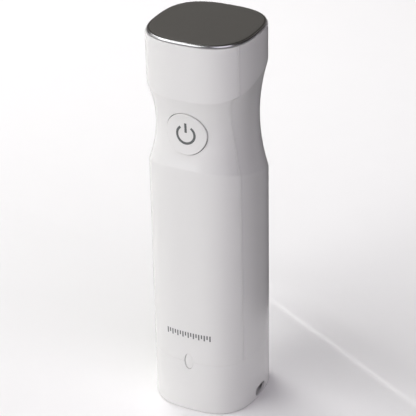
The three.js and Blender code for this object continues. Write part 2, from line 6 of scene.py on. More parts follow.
import bmesh
import bpy
import numpy as np
from mathutils import Matrix, Vector


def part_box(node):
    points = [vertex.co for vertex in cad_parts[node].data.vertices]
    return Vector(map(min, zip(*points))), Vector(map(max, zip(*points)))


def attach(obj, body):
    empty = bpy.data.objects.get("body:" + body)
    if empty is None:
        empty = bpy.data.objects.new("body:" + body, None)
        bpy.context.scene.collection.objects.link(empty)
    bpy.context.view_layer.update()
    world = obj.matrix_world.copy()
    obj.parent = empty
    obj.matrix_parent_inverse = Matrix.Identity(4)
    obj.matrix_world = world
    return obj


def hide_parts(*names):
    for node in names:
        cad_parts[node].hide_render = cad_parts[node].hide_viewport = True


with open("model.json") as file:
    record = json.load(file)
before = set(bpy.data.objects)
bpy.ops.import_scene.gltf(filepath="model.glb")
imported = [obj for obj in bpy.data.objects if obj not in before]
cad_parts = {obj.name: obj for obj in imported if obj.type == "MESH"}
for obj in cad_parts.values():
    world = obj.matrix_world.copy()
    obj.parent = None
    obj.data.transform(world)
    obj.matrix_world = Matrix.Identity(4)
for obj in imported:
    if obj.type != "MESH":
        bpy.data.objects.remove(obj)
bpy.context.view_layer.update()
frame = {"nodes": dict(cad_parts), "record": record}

# ---------------------------------------------------------------- sizes, in millimetres
MM = 0.001


def extent(node):
    """The lowest and highest corner of a CAD node, in millimetres."""
    low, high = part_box(node)
    return np.array(low) / MM, np.array(high) / MM


HALF_WIDTH, HALF_DEPTH, CAD_FOOT_TOP = extent("suction_foot")[1]
FINE_GAP = 0.06  # how far apart the covers and the foot look
SEAM_GAP = 0.015  # how far apart the two covers look
PARTING_Z = (CAD_FOOT_TOP + extent("rear_housing")[0][2]) / 2
FOOT_TOP = PARTING_Z - FINE_GAP / 2
SHELL_BOTTOM = PARTING_Z + FINE_GAP / 2
BUTTON_LOW, BUTTON_HIGH = extent("power_button")
LATCH_LOW, LATCH_HIGH = extent("foot_release_button")

SQUARENESS = 2.77  # exponent of the rounded square section
SOLVING_STEPS = 14  # repeats that settle an angle on the scooped form
RING_CROWDING = 0.85  # below 1, rings of faces crowd towards the hole that they lead to
BODY_ROWS = (12, 26, 33, 12)  # rows beside the release, up to the scoop, in the scoop and in the head
WALL = 2.0
FRONT_EDGE = 0.03
REAR_EDGE = 0.16
SEAM_STEP = 0.1  # the front cover's seam edge is sunk by this, and the rear housing's stands twice as proud

FOOT_WALL = 2.2
FOOT_RIM_EDGE = 0.2
FOOT_EDGE = 1.0  # rounding at the bottom
FOOT_FLOOR = (6.0, 8.0)
FLOOR_OVERLAP = 0.1  # how far the floor goes into the foot's wall
FLOOR_EDGE = 0.25
CUP_HOLE_RADIUS = 5.6
SOCKET_NOTCH_X = 18.35
SOCKET_NOTCH = (7.1, 14.6, 10)

# The top slopes along Y, and rises towards the button side. Heights are at its middle.
TOP_SLOPE = -0.04
PLATE_INSET = 0.9
CURVED_EDGE = 2.8  # width of the plate's soft curve
CAP_STEP = 1.4  # how far the metal top stands above the covers
HEIGHT = extent("top_cap")[1][2] + TOP_SLOPE * (HALF_DEPTH - PLATE_INSET)
SHELL_TOP = HEIGHT - CAP_STEP

# The scooped grip lies between two sloping creases. Each is (height at the middle, slope along Y).
CREASE_LOW = (116.5, -0.30)
CREASE_HIGH = (161.5, 0.20)
SCOOP_DEPTH = (3.35, 0.006)
CREASE_SOFTNESS = 0.07
CREASE_BAND = 1.2  # rows close to a crease lie within this

# Where the seam between the covers runs, as Y at shares of each stretch from the bottom up.
SEAM_BODY = ([0, 1], [-13.9, -14.6])
SEAM_WAIST = (
    [0, 0.12, 0.29, 0.43, 0.54, 0.73, 0.93, 1],
    [-14.6, -13.8, -13.15, -13.4, -13.9, -15.3, -17.1, -17.6],
)
SEAM_HEAD = ([0, 1], [-14.75, -14.9])

BUTTON_RAISE = 0.5  # how much higher the button is drawn than the CAD solid
BUTTON_TRIM = 0.15  # and how much smaller in radius
BUTTON_Z = (BUTTON_LOW[2] + BUTTON_HIGH[2]) / 2 + BUTTON_RAISE
BUTTON_RADIUS = BUTTON_HIGH[0] - BUTTON_TRIM
BUTTON_GAP = 0.3
BUTTON_PROUD = 0.65
BUTTON_EDGE = 0.22
BUTTON_BACK = -18.6
BUTTON_STEM = 2.2
BUTTON_BLOCK = 13.0  # half width of the patch of skin round the button

LATCH_FLANGE = 0.9
LATCH_Z = (LATCH_LOW[2] + LATCH_HIGH[2]) / 2
LATCH_HALF = (LATCH_HIGH[0] - LATCH_FLANGE, LATCH_HIGH[2] - LATCH_Z - LATCH_FLANGE)
LATCH_PROUD = 0.65
LATCH_FACE = LATCH_LOW[1] - LATCH_PROUD
LATCH_DOME = 0.25  # how far the face's edge lies behind its middle
LATCH_EDGE = 0.2
LATCH_GAP = 0.08
SEAT_RADIUS = 2.1  # the round seat for the spring in the back of the release button
SEAT_DEPTH = 0.75
LATCH_BLOCK = 6.0
LATCH_BLOCK_HEIGHT = 7.6

PORT_Z = 3.45
PORT_HALF_HEIGHT = 2.25
PORT_STRAIGHT = 2.55  # half length of the window's straight sides
PORT_POCKET = 0.9  # how much thinner the wall is round the window
PORT_BLOCK = 8.0
PORT_BLOCK_TOP = 10.0
PORT_FADE = (7, 14)  # the window's shaping fades out between these, across the face
POCKET_FADE = (7, 12)  # and the thinner wall between these heights

SIGN_DROP = 0.3  # how far the power sign's middle lies below the button's
SIGN_RING = (3.55, 4.1, 4.65)
SIGN_OPENING = 36  # degrees to either side of the bar
SIGN_BAR = (0.55, 0.8, 5.4)  # half width, and the ends above the sign's middle
TICK_COUNT = 17
TICK_REACH = 10.4
TICK_HALF_WIDTH = 0.3
TICK_TOP = 41.9
TICK_FEET = (39.0, 39.9)
INK = 0.05
INK_PROUD = 0.012

# ---------------------------------------------------------------- camera, in metres and degrees
# The lens and the sensor are in millimetres.
CAMERA_AZIMUTH = 26.433
CAMERA_ELEVATION = 29.024
CAMERA_DISTANCE = 0.91226
CAMERA_ROLL = -1.1129
CAMERA_TARGET_Z = 0.092892
CAMERA_SIDESTEP = -0.001045
CAMERA_LENS = 177.85
CAMERA_SENSOR = 36


# ---------------------------------------------------------------- the outer form
def section(t, inset):
    """X and Y of the rounded square section at angle t, moved inwards by inset."""
    power = 2 / SQUARENESS
    x = (HALF_WIDTH - inset) * np.sign(np.cos(t)) * np.abs(np.cos(t)) ** power
    y = (HALF_DEPTH - inset) * np.sign(np.sin(t)) * np.abs(np.sin(t)) ** power
    return x, y


def crease(line, y):
    return line[0] + line[1] * y


def scoop_depth(y, z):
    """How far the grip is scooped in, where y is the section's own Y before the scoop."""
    low, high = crease(CREASE_LOW, y), crease(CREASE_HIGH, y)
    share = (z - low) / (high - low)
    curve = crease(SCOOP_DEPTH, y) * (1 - (2 * share - 1) ** 2)
    return 0.5 * (curve + np.sqrt(curve**2 + 4 * CREASE_SOFTNESS**2))


def foot_rounding(z):
    near = np.clip(1 - z / FOOT_EDGE, 0, 1)
    return FOOT_EDGE * (1 - np.sqrt(1 - near**2))


def form(t, z, inset=0.0):
    """Points of the outer form at section angles t and heights z, moved inwards by inset."""
    _, y0 = section(t, 0)
    rounding = foot_rounding(z) if np.ndim(inset) == 0 and inset <= 0 else 0
    x, y = section(t, inset + scoop_depth(y0, z) + rounding)
    return np.stack([x, y, np.broadcast_to(z, np.shape(x))], -1)


def front_angle(x, z, inset=0.0):
    """The section angle on the front whose point at height z has this x."""
    width = HALF_WIDTH - inset
    for _ in range(SOLVING_STEPS):
        ratio = np.clip(np.abs(x) / width, 0, 1) ** (SQUARENESS / 2)
        t = -np.arccos(ratio * np.sign(x))
        width = HALF_WIDTH - inset - scoop_depth(section(t, 0)[1], z)
    return t


def front_y(x, z, inset=0.0):
    return form(front_angle(x, z, inset), z, inset)[..., 1]


def side_angle(y, inset=0.0):
    """The section angle on the +X side, below the scoop, whose point has this y."""
    ratio = np.clip(np.abs(y) / (HALF_DEPTH - inset), 0, 1) ** (SQUARENESS / 2)
    return np.arcsin(ratio * np.sign(y))


def smooth_share(value, low, high):
    share = np.clip((value - low) / (high - low), 0, 1)
    return share * share * (3 - 2 * share)


# ---------------------------------------------------------------- mesh building
def make_object(name, verts, faces, material, body, replaces=(), smooth=True):
    """A piece from points in millimetres. It rides on a body, and may stand for CAD nodes."""
    mesh = bpy.data.meshes.new(name)
    mesh.from_pydata((np.asarray(verts, float) * MM).tolist(), [], [list(map(int, f)) for f in faces])
    mesh.validate()
    mesh.polygons.foreach_set("use_smooth", [smooth] * len(mesh.polygons))
    mesh.materials.append(material)
    obj = bpy.data.objects.new(name, mesh)
    bpy.context.scene.collection.objects.link(obj)
    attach(obj, body)
    if replaces:
        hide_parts(*replaces)
    return obj


def add_bevel(obj, width, angle=45, segments=3):
    bevel = obj.modifiers.new("rounded_edges", "BEVEL")
    bevel.width = width * MM
    bevel.limit_method = "ANGLE"
    bevel.angle_limit = math.radians(angle)
    bevel.segments = segments
    bevel.harden_normals = True
    bevel.use_clamp_overlap = True


class Skin:
    """A sheet in section angle and height, with its corners welded, made into a shell of some thickness."""

    def __init__(self):
        self.points = []
        self.index = {}
        self.faces = []

    def corner(self, t, z):
        key = (round(float(t) % (2 * math.pi), 6) % round(2 * math.pi, 6), round(float(z), 4))
        if key not in self.index:
            self.index[key] = len(self.points)
            self.points.append((float(t), float(z)))
        return self.index[key]

    def grid(self, t, z, hole=lambda row, column: False, closed=False):
        """Cells of a grid given as rows of angles and heights, from the lowest row up."""
        ids = np.array([[self.corner(a, b) for a, b in zip(*row)] for row in zip(t, z)])
        rows, columns = ids.shape
        for r in range(rows - 1):
            for c in range(columns if closed else columns - 1):
                n = (c + 1) % columns
                if not hole(r, c):
                    self.faces.append((ids[r, c], ids[r, n], ids[r + 1, n], ids[r + 1, c]))
        return ids

    def patch(self, outer, rings, closed):
        """Rings of corners that lead from an outer path of corner numbers in to a hole's edge."""
        loops = [list(outer)] + [[self.corner(a, b) for a, b in zip(*ring)] for ring in rings]
        count = len(loops[0])
        for near, far in zip(loops, loops[1:]):
            for i in range(count if closed else count - 1):
                n = (i + 1) % count
                self.faces.append((near[i], near[n], far[n], far[i]))

    def shell(self, inner_of, thickness):
        """Vertices and faces of the closed shell. inner_of gives the inner angle of each corner."""
        t, z = np.array(self.points).T
        outer = form(t, z)
        inner = form(inner_of(t, z, outer), z, thickness)
        count = len(t)
        faces = [f for f in self.faces if len(set(f)) > 2]
        faces = [[v for k, v in enumerate(f) if v != f[k - 1]] for f in faces]
        directed = {(f[k - 1], f[k]) for f in faces for k in range(len(f))}
        rim = [(a, b) for a, b in directed if (b, a) not in directed]
        inside = [[v + count for v in reversed(f)] for f in faces]
        walls = [(b, a, a + count, b + count) for a, b in rim]
        return np.vstack([outer, inner]), faces + inside + walls


def straight_through(thickness, reach=(11.0, 18.0)):
    """Inner angles that keep a hole's wall parallel to Y on the front, and follow the section elsewhere."""

    def inner_of(t, z, outer):
        x, y = outer[:, 0], outer[:, 1]
        weight = (1 - smooth_share(np.abs(x), *reach)) * (y < 0)
        same_x = front_angle(np.where(weight > 0, x, 0.0), z, thickness)
        same_x = np.where(np.sin(t) < 0, same_x, t)
        turn = (same_x - t + math.pi) % (2 * math.pi) - math.pi
        return t + weight * turn

    return inner_of


def rings_to_hole(points, hole_points, count):
    """Points from an outer path in to a hole's edge, closer together near the hole, without the path."""
    shares = [(k / count) ** RING_CROWDING for k in range(1, count + 1)]
    return [points + (hole_points - points) * share for share in shares]


def flat_front(skin, ids):
    """X and Z of corners on the front."""
    t, z = np.array([skin.points[i] for i in ids]).T
    spot = form(t, z)
    return spot[:, (0, 2)]


def rows_between(low, high, count, seam):
    """Rows of the body between two heights that may depend on Y. seam gives the seam's Y by share."""
    rows = []
    for share in np.linspace(0, 1, count):
        rows.append((lambda y, s=share: low(y) + (high(y) - low(y)) * s, np.interp(share, *seam)))
    return rows


def body_rows(side):
    """Every row of the body's skin as (height by Y, seam Y), and the row numbers that bound the patches.

    side is 1 for the front cover and -1 for the rear housing, which step apart at the upper crease.
    """

    def level(z):
        return lambda y: z + 0 * y

    def near(line, shift):
        return lambda y: crease(line, y) + shift

    def top(y):
        return SHELL_TOP + TOP_SLOPE * y

    beside_latch, below_scoop, in_scoop, in_head = BODY_ROWS
    latch_top = level(SHELL_BOTTOM + LATCH_BLOCK_HEIGHT)
    rows = rows_between(level(SHELL_BOTTOM), latch_top, beside_latch, ([0, 1], [SEAM_BODY[1][0]] * 2))
    marks = {"latch_top": len(rows) - 1}
    rows += rows_between(latch_top, near(CREASE_LOW, -CREASE_BAND), below_scoop, SEAM_BODY)[1:]
    rows += [(near(CREASE_LOW, shift), SEAM_WAIST[1][0]) for shift in (-0.6, -0.25, 0, 0.25, 0.6)]
    marks["waist_low"] = len(rows)
    scoop = near(CREASE_LOW, CREASE_BAND), near(CREASE_HIGH, -CREASE_BAND)
    rows += rows_between(*scoop, in_scoop, SEAM_WAIST)
    marks["waist_high"] = len(rows) - 1
    step = side * SEAM_GAP / 2
    below, above = (-0.6, -0.3, step - 0.1), (step + 0.1, 0.3, 0.6, CREASE_BAND)
    rows += [(near(CREASE_HIGH, shift), SEAM_WAIST[1][-1]) for shift in below]
    rows += [(near(CREASE_HIGH, shift), SEAM_HEAD[1][0]) for shift in above]
    rows += rows_between(near(CREASE_HIGH, CREASE_BAND), top, in_head, SEAM_HEAD)[1:]
    return rows, marks


def angle_on_row(row, solve):
    """The angle on a row whose height depends on Y, found by repeated solving."""
    t = -1.0
    for _ in range(SOLVING_STEPS):
        y0 = section(t, 0)[1]
        t = solve(scoop_depth(y0, row(y0)))
    return float(t)


def seam_angle(row, y):
    """The section angle of the right-hand seam on a row."""
    return angle_on_row(row, lambda depth: -math.asin((abs(y) / (HALF_DEPTH - depth)) ** (SQUARENESS / 2)))


def column_angle(row, x):
    """The section angle on the front of a row where it has this x."""

    def solve(depth):
        return -math.acos((abs(x) / (HALF_WIDTH - depth)) ** (SQUARENESS / 2) * (1 if x > 0 else -1))

    return angle_on_row(row, solve)


def spread(breaks, counts):
    """Values from break to break, with each stretch divided into its count."""
    values = [breaks[0]]
    for a, b, count in zip(breaks, breaks[1:], counts):
        values += [a + (b - a) * k / count for k in range(1, count + 1)]
    return np.array(values)


# ---------------------------------------------------------------- outer pieces
FRONT_COUNTS = (14, 8, 14, 8, 14)


def front_cover(material):
    rows, marks = body_rows(1)
    angles, heights = [], []
    for height, seam in rows:
        right = seam_angle(height, seam - SEAM_GAP / 2)
        inner = [column_angle(height, x) for x in (-BUTTON_BLOCK, -LATCH_BLOCK, LATCH_BLOCK, BUTTON_BLOCK)]
        t = spread([-math.pi - right, *inner, right], FRONT_COUNTS)
        angles.append(t)
        heights.append(height(section(t, 0)[1]))
    skin = Skin()
    edge = np.cumsum((0,) + FRONT_COUNTS)

    def in_patch(row, column):
        at_latch = row < marks["latch_top"] and edge[2] <= column < edge[3]
        at_button = marks["waist_low"] <= row < marks["waist_high"] and edge[1] <= column < edge[4]
        return at_latch or at_button

    ids = skin.grid(angles, heights, in_patch)
    low, high = marks["waist_low"], marks["waist_high"]
    loop = list(ids[low, edge[1] : edge[4]]) + list(ids[low:high, edge[4]])
    loop += list(ids[high, edge[4] : edge[1] : -1]) + list(ids[high:low:-1, edge[1]])
    outside = flat_front(skin, loop)
    centre = np.array([0, BUTTON_Z])
    away = outside - centre
    hole = centre + away / np.linalg.norm(away, axis=1)[:, None] * (BUTTON_RADIUS + BUTTON_GAP)
    skin.patch(loop, [(front_angle(*p.T), p[:, 1]) for p in rings_to_hole(outside, hole, 7)], True)

    top = marks["latch_top"]
    path = list(ids[0:top, edge[3]]) + list(ids[top, edge[3] : edge[2] : -1]) + list(ids[top::-1, edge[2]])
    skin.patch(path, latch_rings(flat_front(skin, path), SHELL_BOTTOM), False)
    verts, faces = skin.shell(straight_through(WALL), WALL)
    for column in (0, -1):
        verts[ids[:, column], :2] *= 1 - SEAM_STEP / HALF_DEPTH
    piece = make_object("front_shell", verts, faces, material, "body", ["front_cover"])
    add_bevel(piece, FRONT_EDGE)


def latch_rings(outside, edge_z):
    """Rings from a path of X and Z round the latch in to the latch's oval, which edge_z cuts across."""
    half = np.array(LATCH_HALF) + LATCH_GAP
    centre = np.array([0, LATCH_Z])
    away = (outside - centre) / half
    oval = centre + half * away / np.linalg.norm(away, axis=1)[:, None]
    side = np.sign(outside[:, 1].mean() - edge_z)
    oval[:, 1] = edge_z + side * np.maximum(side * (oval[:, 1] - edge_z), 0)
    for end in (0, -1):
        oval[end, 1] = edge_z
    return [(front_angle(*p.T), p[:, 1]) for p in rings_to_hole(outside, oval, 5)]


def rear_shell(material):
    rows, _ = body_rows(-1)
    angles, heights = [], []
    for height, seam in rows:
        start = seam_angle(height, seam + SEAM_GAP / 2)
        t = np.linspace(start, math.pi - start, 97)
        angles.append(t)
        heights.append(height(section(t, 0)[1]))
    skin = Skin()
    ids = skin.grid(angles, heights)
    verts, faces = skin.shell(lambda t, z, outer: t, WALL)
    for column in (0, -1):
        verts[ids[:, column], :2] *= 1 + 2 * SEAM_STEP / HALF_DEPTH
    piece = make_object("rear_shell", verts, faces, material, "body", ["rear_housing"])
    add_bevel(piece, REAR_EDGE)


def foot_shell(material):
    port = float(side_angle(PORT_BLOCK))
    latch = float(front_angle(LATCH_BLOCK, FOOT_TOP))
    front, latch_half = 1.5 * math.pi, latch + math.pi / 2
    breaks = [-port, port, front - latch_half, front + latch_half, 2 * math.pi - port]
    counts = (20, 70, 14, 22)
    t = spread(breaks, counts)[:-1]
    fillet = [FOOT_EDGE * (1 - math.cos(math.radians(a))) for a in range(0, 91, 15)]
    row_counts = (12, 4, 12)
    z = spread([FOOT_EDGE, PORT_BLOCK_TOP, FOOT_TOP - LATCH_BLOCK_HEIGHT, FOOT_TOP], row_counts)
    levels = np.concatenate([fillet[:-1], z])
    low, high, base, top = len(fillet) - 1 + np.cumsum((0,) + row_counts)
    edge = np.cumsum((0,) + counts)
    skin = Skin()

    def in_patch(row, column):
        at_port = low <= row < high and column < edge[1]
        at_latch = row >= base and edge[2] <= column < edge[3]
        return at_port or at_latch

    ids = skin.grid([t] * len(levels), [np.full(len(t), level) for level in levels], in_patch, closed=True)
    loop = list(ids[low, 0 : edge[1]]) + list(ids[low:high, edge[1]])
    loop += list(ids[high, edge[1] : 0 : -1]) + list(ids[high:low:-1, 0])
    spots = form(*np.array([skin.points[i] for i in loop]).T)[:, 1:]
    core = np.stack([np.clip(spots[:, 0], -PORT_STRAIGHT, PORT_STRAIGHT), np.full(len(spots), PORT_Z)], -1)
    away = spots - core
    pill = core + away / np.linalg.norm(away, axis=1)[:, None] * PORT_HALF_HEIGHT
    skin.patch(loop, [(side_angle(p[:, 0]), p[:, 1]) for p in rings_to_hole(spots, pill, 5)], True)

    left, right = edge[2], edge[3]
    path = list(ids[top:base:-1, left]) + list(ids[base, left:right]) + list(ids[base : top + 1, right])
    skin.patch(path, latch_rings(flat_front(skin, path), FOOT_TOP), False)

    # Round the charging window the wall is thinner, and the window's own sides run parallel to X.
    x, y, height = form(*np.array(skin.points).T).T
    beside = (1 - smooth_share(np.abs(y), *PORT_FADE)) * (x > 0)
    wall = FOOT_WALL - PORT_POCKET * beside * (1 - smooth_share(height, *POCKET_FADE))
    elsewhere = straight_through(FOOT_WALL)

    def inner_of(t, z, outer):
        same_y = side_angle(outer[:, 1], wall)
        turn = (same_y - t + math.pi) % (2 * math.pi) - math.pi
        return np.where(beside > 0, t + beside * turn, elsewhere(t, z, outer))

    verts, faces = skin.shell(inner_of, wall)
    piece = make_object("foot_shell", verts, faces, material, "foot", ["suction_foot"])
    add_bevel(piece, FOOT_RIM_EDGE)


def carve(obj, tool):
    """Cuts one closed piece out of another and keeps the result as the mesh."""
    boolean = obj.modifiers.new("cut", "BOOLEAN")
    boolean.operation = "DIFFERENCE"
    boolean.solver = "EXACT"
    boolean.object = tool
    depsgraph = bpy.context.evaluated_depsgraph_get()
    cut = bpy.data.meshes.new_from_object(obj.evaluated_get(depsgraph))
    obj.modifiers.clear()
    obj.data = cut
    bpy.data.objects.remove(tool)


def closed_loft(levels, columns, slope=0.0):
    """Vertices and faces of a solid through section rings given as [inset, z], bottom to top."""
    t = np.linspace(0, 2 * math.pi, columns, endpoint=False)
    rings = []
    for inset, z in levels:
        x, y = section(t, inset)
        rings.append(np.stack([x, y, z + slope * y], -1))
    verts = np.vstack(rings + [[[0, 0, levels[0][1]]], [[0, 0, levels[-1][1]]]])
    faces = []
    for row in range(len(levels) - 1):
        for i in range(columns):
            a, b = row * columns + i, row * columns + (i + 1) % columns
            faces.append((a, b, b + columns, a + columns))
    bottom, top = len(verts) - 2, len(verts) - 1
    last = (len(levels) - 1) * columns
    for i in range(columns):
        n = (i + 1) % columns
        faces.append((bottom, n, i))
        faces.append((top, last + i, last + n))
    return verts, faces


def cutter(name, place, radius=None, depth=None, sides=(1, 1, 1), turn=(0, 0, 0)):
    """A closed piece to cut with, in millimetres: a round bar of a radius and depth, or else a block."""
    shape = bmesh.new()
    if radius:
        bmesh.ops.create_cone(shape, cap_ends=True, segments=48, radius1=radius, radius2=radius, depth=depth)
    else:
        bmesh.ops.create_cube(shape, size=1)
    mesh = bpy.data.meshes.new(name)
    shape.to_mesh(mesh)
    shape.free()
    piece = bpy.data.objects.new(name, mesh)
    bpy.context.scene.collection.objects.link(piece)
    piece.location = Vector(place) * MM
    piece.rotation_euler = turn
    piece.scale = Vector(sides) * MM
    return piece


def foot_floor(material):
    verts, faces = closed_loft([[FOOT_WALL - FLOOR_OVERLAP, z] for z in FOOT_FLOOR], 96)
    floor = make_object("foot_floor", verts, faces, material, "foot", smooth=False)
    middle = np.mean(FOOT_FLOOR)
    carve(floor, cutter("hole", (0, 0, middle), CUP_HOLE_RADIUS, 20))
    carve(floor, cutter("notch", (SOCKET_NOTCH_X, 0, middle), sides=SOCKET_NOTCH))
    add_bevel(floor, FLOOR_EDGE)


def top_cap(materials):
    """A dark satin plate that curves softly down to a polished steep bevel, and a skirt into the shells. The
    first bands of the curve take a darker copy of the satin steel: painted shade along the plate's edge.
    """
    columns = 192
    skirt = [[2.6, HEIGHT - 4.5], [2.4, HEIGHT - 4.3], [2.4, SHELL_TOP + 0.3], [0.75, SHELL_TOP + 0.3]]
    bevel = [[0.5, SHELL_TOP + 0.33], [0.38, SHELL_TOP + 0.41], [0.4, SHELL_TOP + 0.6], [0.62, HEIGHT - 0.4]]
    bevel += [[0.72, HEIGHT - 0.3], [0.86, HEIGHT - 0.22]]
    curve = [[1.2, HEIGHT - 0.13], [1.6, HEIGHT - 0.065], [2.1, HEIGHT - 0.025], [CURVED_EDGE, HEIGHT]]
    plate = [[inset, HEIGHT] for inset in (3.3, 6.0, 10.0, 15.0, 20.0)]
    verts, faces = closed_loft(skirt + bevel + curve + plate, columns, TOP_SLOPE)
    cap = make_object("metal_top", verts, faces, materials["cap_plate"], "body", ["top_cap"])
    cap.data.materials.append(materials["cap_rim"])
    cap.data.materials.append(materials["cap_painted_shade"])
    # the skirt and bevel take the polished rim; the first bands of the curve take the darker satin copy,
    # painted shade
    for polygon in cap.data.polygons:
        lowest = min(polygon.vertices) // columns
        if lowest < len(skirt + bevel) - 1 and len(polygon.vertices) == 4:
            polygon.material_index = 1
        elif lowest < len(skirt + bevel) + 1:
            polygon.material_index = 2


def plug(name, outline, surface, steps, fillet, material, body, replaces, columns=96, rings=18):
    """A button: a face that follows a surface, a rounded edge, then steps of (margin, y) to its back."""
    angle = np.linspace(0, 2 * math.pi, columns, endpoint=False)
    centre = outline(angle, 0).mean(0)
    verts = [[centre[0], float(surface(centre[0], centre[1])), centre[1]]]
    levels = []
    for share in np.linspace(0, 1, rings + 1)[1:]:
        spot = centre + (outline(angle, -fillet) - centre) * share
        levels.append((spot, surface(spot[:, 0], spot[:, 1])))
    for degrees in (18, 36, 54, 72, 90):
        a = math.radians(degrees)
        spot = outline(angle, -fillet * (1 - math.sin(a)))
        levels.append((spot, surface(spot[:, 0], spot[:, 1]) + fillet * (1 - math.cos(a))))
    for margin, y in steps:
        levels.append((outline(angle, margin), np.full(columns, float(y))))
    for spot, y in levels:
        verts += np.stack([spot[:, 0], y, spot[:, 1]], -1).tolist()
    verts.append([centre[0], steps[-1][1], centre[1]])
    faces = [(0, 1 + i, 1 + (i + 1) % columns) for i in range(columns)]
    for row in range(len(levels) - 1):
        for i in range(columns):
            a, b = 1 + row * columns + i, 1 + row * columns + (i + 1) % columns
            faces.append((a, a + columns, b + columns, b))
    last = 1 + (len(levels) - 1) * columns
    end = len(verts) - 1
    faces += [(end, last + (i + 1) % columns, last + i) for i in range(columns)]
    return make_object(name, verts, faces, material, body, replaces)


def power_button(material):
    def outline(angle, margin):
        radius = BUTTON_RADIUS + margin
        return np.stack([radius * np.cos(angle), BUTTON_Z + radius * np.sin(angle)], -1)

    def surface(x, z):
        return front_y(x, z, -BUTTON_PROUD)

    stem = BUTTON_STEM - BUTTON_RADIUS
    steps = [(0, BUTTON_BACK), (stem, BUTTON_BACK), (stem, BUTTON_HIGH[1])]
    piece = plug(
        "button_cap", outline, surface, steps, BUTTON_EDGE, material, "power_button", ["power_button"]
    )
    add_bevel(piece, 0.15, 50)


def release_button(material):
    def outline(angle, margin):
        half = np.array(LATCH_HALF) + margin
        return np.stack([half[0] * np.cos(angle), LATCH_Z + half[1] * np.sin(angle)], -1)

    def surface(x, z):
        dome = (x / LATCH_HALF[0]) ** 2 + ((z - LATCH_Z) / LATCH_HALF[1]) ** 2
        return LATCH_FACE + LATCH_DOME * dome

    flange_front = -HALF_DEPTH + FOOT_WALL + LATCH_GAP
    flange_back = flange_front + LATCH_FLANGE
    steps = [(0, flange_front), (LATCH_FLANGE, flange_front), (LATCH_FLANGE, flange_back)]
    replaced = ["foot_release_button"]
    piece = plug(
        "release_cap", outline, surface, steps, LATCH_EDGE, material, "foot_release", replaced, 64, 10
    )
    along_y = (math.pi / 2, 0, 0)
    carve(piece, cutter("spring_seat", (0, flange_back, LATCH_Z), SEAT_RADIUS, 2 * SEAT_DEPTH, turn=along_y))
    add_bevel(piece, 0.1, 50)


def printed(name, grids, proud, material, body):
    """Thin ink on the front: each grid of X and Z becomes a closed sliver that follows the surface."""
    verts, faces = [], []
    for x, z in grids:
        rows, columns = x.shape
        outer = np.stack([x, front_y(x, z, -proud - INK_PROUD), z], -1).reshape(-1, 3)
        inner = outer + [0, INK, 0]
        start, count = len(verts), rows * columns
        verts += outer.tolist() + inner.tolist()
        cells = []
        for r in range(rows - 1):
            for c in range(columns - 1):
                a = start + r * columns + c
                cells.append((a, a + 1, a + columns + 1, a + columns))
        directed = {(f[k - 1], f[k]) for f in cells for k in range(4)}
        rim = [(a, b) for a, b in directed if (b, a) not in directed]
        faces += cells + [tuple(v + count for v in reversed(f)) for f in cells]
        faces += [(b, a, a + count, b + count) for a, b in rim]
    make_object(name, verts, faces, material, body, smooth=False)


def power_mark(material):
    """The usual on and off sign: an open ring with a bar."""
    middle = BUTTON_Z - SIGN_DROP
    angle = np.radians(np.linspace(90 + SIGN_OPENING, 450 - SIGN_OPENING, 64))
    radius = np.array(SIGN_RING)[::-1, None]
    ring = (radius * np.cos(angle), middle + radius * np.sin(angle))
    half, low, high = SIGN_BAR
    bar = np.meshgrid([-half, 0, half], np.linspace(middle + low, middle + high, 8))
    printed("power_mark", [ring, bar], BUTTON_PROUD, material, "power_button")


def level_marks(material):
    """A plain printed row of thin ticks, tall and short by turns, low on the front."""
    grids = []
    for k, middle in enumerate(np.linspace(-TICK_REACH, TICK_REACH, TICK_COUNT)):
        across = np.linspace(middle - TICK_HALF_WIDTH, middle + TICK_HALF_WIDTH, 3)
        grids.append(np.meshgrid(across, np.linspace(TICK_FEET[k % 2], TICK_TOP, 5)))
    printed("level_marks", grids, 0, material, "body")


def suction_cup(material):
    """A flared lip, a groove that the foot's floor sits in and a neck above it, turned round Z."""
    lip = [(12.0, 0.35), (13.2, 0.35), (13.1, 1.3), (12.7, 2.3), (11.9, 3.5), (10.8, 4.7), (9.3, 5.6)]
    groove = [(7.4, 5.7), (5.3, 5.7), (5.3, 8.3), (7.3, 8.3)]
    neck = [(7.1, 9.0), (6.6, 9.7), (5.6, 11.0), (4.9, 12.6), (2.8, 12.6)]
    inside = [(2.8, 5.5), (5.2, 5.4), (7.6, 5.15), (9.2, 4.5), (10.4, 3.5), (11.3, 2.2), (11.8, 1.1)]
    profile = lip + groove + neck + inside
    columns = 96
    angle = np.linspace(0, 2 * math.pi, columns, endpoint=False)
    x, y = np.cos(angle), np.sin(angle)
    verts = np.vstack([np.stack([r * x, r * y, np.full(columns, z)], -1) for r, z in profile])
    faces = []
    for row in range(len(profile)):
        near, far = row * columns, (row + 1) % len(profile) * columns
        for i in range(columns):
            n = (i + 1) % columns
            faces.append((near + i, near + n, far + n, far + i))
    piece = make_object("soft_cup", verts, faces, material, "foot", ["suction_cup"])
    add_bevel(piece, 0.2, 40)


